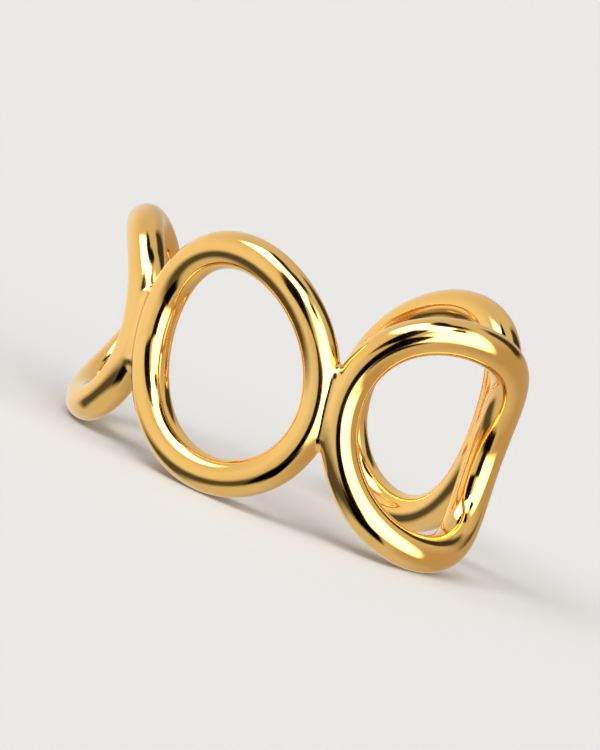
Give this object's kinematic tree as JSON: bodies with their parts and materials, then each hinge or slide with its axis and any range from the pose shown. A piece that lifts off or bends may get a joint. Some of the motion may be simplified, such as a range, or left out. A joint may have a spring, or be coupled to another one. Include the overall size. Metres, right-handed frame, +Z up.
{
  "type": "ear cuff",
  "caption": "Open ear cuff of polished gold wire: a row of open ovals soldered side by side and bent round an oval, with a gap that slips over the ear's rim",
  "frame": {"origin": "centre of the cuff's box on the surface that the bottoms of its ovals rest on", "axes": "+Z up along the cuff's own axis, +Y towards the gap that lets the ear's rim in, +X to the side where the row of full ovals runs on, away from the small oval"},
  "size_m": [0.0132, 0.0098, 0.0075],
  "materials": {
    "gold": "polished gold plating on brass"
  },
  "bodies": {
    "root": {"oval_cuff": "gold"}
  },
  "joints": []
}
